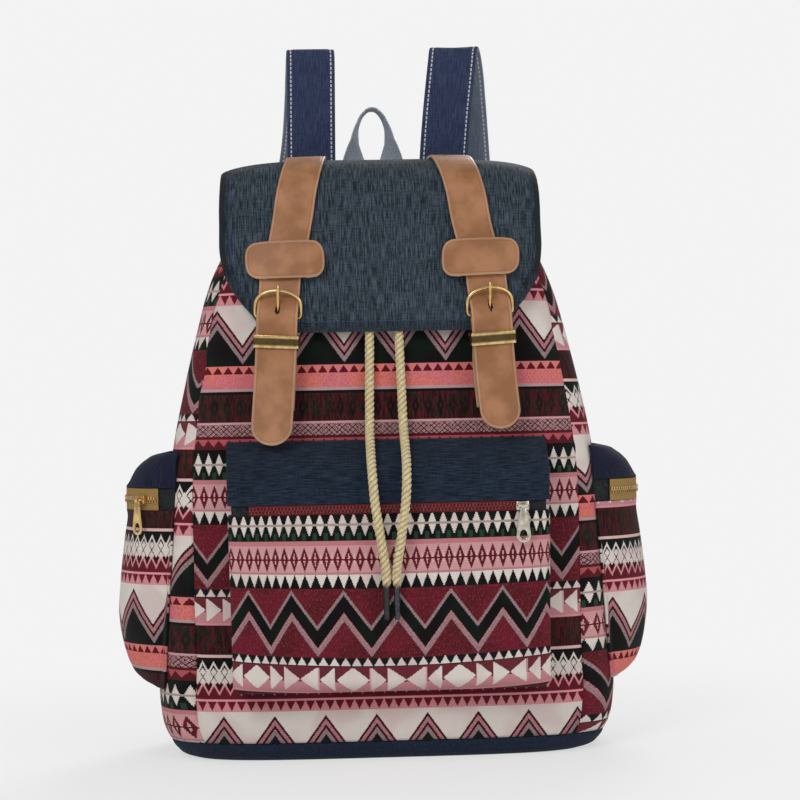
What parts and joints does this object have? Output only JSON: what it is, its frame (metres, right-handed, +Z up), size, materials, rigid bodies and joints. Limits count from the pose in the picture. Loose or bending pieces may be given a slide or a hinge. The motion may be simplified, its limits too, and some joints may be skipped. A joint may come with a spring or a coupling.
{
  "type": "drawstring backpack",
  "caption": "Woven backpack with a denim flap, buckled leather straps, rope drawstring, zipped front and side pockets, padded shoulder straps and a grab loop.",
  "frame": {"origin": "centre of the underside of the bounding box", "axes": "+X to the viewer's right, +Y to the back with the shoulder straps, +Z up"},
  "size_m": [0.38, 0.217, 0.5136],
  "materials": {
    "woven_cloth": "zigzag and diamond bands, coarse weave",
    "denim": "dark slubbed twill",
    "navy_denim": "navy twill with pale stitching",
    "leather": "tan, smooth, pale cut edges",
    "gold_metal": "polished pale gold",
    "zip_tape": "tape with metal teeth",
    "rope": "three-strand twist",
    "webbing": "flat grey webbing",
    "dark_plastic": "dark, smooth"
  },
  "bodies": {
    "bag": {"front_panel": "woven_cloth", "back_panel": "woven_cloth", "left_side_panel": "woven_cloth", "right_side_panel": "woven_cloth", "base_panel": "denim", "drawstring_casing": "woven_cloth", "flap": "denim", "pocket_panel": "woven_cloth", "pocket_band": "denim", "pocket_zip": "zip_tape", "grab_loop": "webbing", "back_yoke": "denim", "flap_tab_left": "leather", "buckle_strap_left": "leather", "buckle_tab_left": "leather", "strap_keeper_left": "gold_metal", "side_pocket_left": "woven_cloth", "side_cap_left": "denim", "side_zip_left": "zip_tape", "eyelet_left": "gold_metal", "cord_left": "rope", "cord_tip_left": "dark_plastic", "shoulder_strap_left": "navy_denim", "webbing_left": "webbing", "corner_tab_left": "denim", "flap_tab_right": "leather", "buckle_strap_right": "leather", "buckle_tab_right": "leather", "strap_keeper_right": "gold_metal", "side_pocket_right": "woven_cloth", "side_cap_right": "denim", "side_zip_right": "zip_tape", "eyelet_right": "gold_metal", "cord_right": "rope", "cord_tip_right": "dark_plastic", "shoulder_strap_right": "navy_denim", "webbing_right": "webbing", "corner_tab_right": "denim"},
    "front_slider": {"pocket_slider": "gold_metal"},
    "front_pull": {"pocket_pull": "gold_metal"},
    "left_slider": {"side_slider_left": "gold_metal"},
    "left_pull": {"side_pull_left": "gold_metal"},
    "left_buckle": {"buckle_frame_left": "gold_metal"},
    "left_prong": {"buckle_prong_left": "gold_metal"},
    "left_adjuster": {"adjuster_left": "dark_plastic"},
    "right_slider": {"side_slider_right": "gold_metal"},
    "right_pull": {"side_pull_right": "gold_metal"},
    "right_buckle": {"buckle_frame_right": "gold_metal"},
    "right_prong": {"buckle_prong_right": "gold_metal"},
    "right_adjuster": {"adjuster_right": "dark_plastic"}
  },
  "joints": [
    {"name": "front_zip", "type": "slide", "parent": "bag", "child": "front_slider", "axis": [-1, 0, 0], "range_m": [0, 0.177]},
    {"name": "front_pull_swing", "type": "hinge", "parent": "front_slider", "child": "front_pull", "pos_m": [0.089, -0.10323, 0.1737], "axis": [-1, 0, 0], "range_deg": [0, 150]},
    {"name": "left_zip", "type": "hinge", "parent": "bag", "child": "left_slider", "pos_m": [-0.133, 0.00542, 0.18], "axis": [0, 0, -1], "range_deg": [0, 96]},
    {"name": "left_pull_swing", "type": "hinge", "parent": "left_slider", "child": "left_pull", "pos_m": [-0.1726, -0.03282, 0.18], "axis": [-0.6947, 0.7193, 0], "range_deg": [0, 150]},
    {"name": "left_buckle_lift", "type": "hinge", "parent": "bag", "child": "left_buckle", "pos_m": [-0.07227, -0.07229, 0.30359], "axis": [0.9936, -0.0963, -0.0593], "range_deg": [0, 15]},
    {"name": "left_prong_lift", "type": "hinge", "parent": "left_buckle", "child": "left_prong", "pos_m": [-0.07227, -0.07229, 0.30359], "axis": [0.9936, -0.0963, -0.0593], "range_deg": [0, 10]},
    {"name": "left_strap_adjust", "type": "slide", "parent": "bag", "child": "left_adjuster", "axis": [-0.0326, -0.0781, -0.9964], "range_m": [-0.011, 0.127]},
    {"name": "right_zip", "type": "hinge", "parent": "bag", "child": "right_slider", "pos_m": [0.133, 0.00542, 0.18], "axis": [0, 0, -1], "range_deg": [0, 96]},
    {"name": "right_pull_swing", "type": "hinge", "parent": "right_slider", "child": "right_pull", "pos_m": [0.1726, 0.04366, 0.18], "axis": [0.6947, -0.7193, 0], "range_deg": [0, 150]},
    {"name": "right_buckle_lift", "type": "hinge", "parent": "bag", "child": "right_buckle", "pos_m": [0.07227, -0.07229, 0.30359], "axis": [0.9936, 0.0963, 0.0593], "range_deg": [0, 15]},
    {"name": "right_prong_lift", "type": "hinge", "parent": "right_buckle", "child": "right_prong", "pos_m": [0.07227, -0.07229, 0.30359], "axis": [0.9936, 0.0963, 0.0593], "range_deg": [0, 10]},
    {"name": "right_strap_adjust", "type": "slide", "parent": "bag", "child": "right_adjuster", "axis": [0.0326, -0.0781, -0.9964], "range_m": [-0.011, 0.127]}
  ]
}
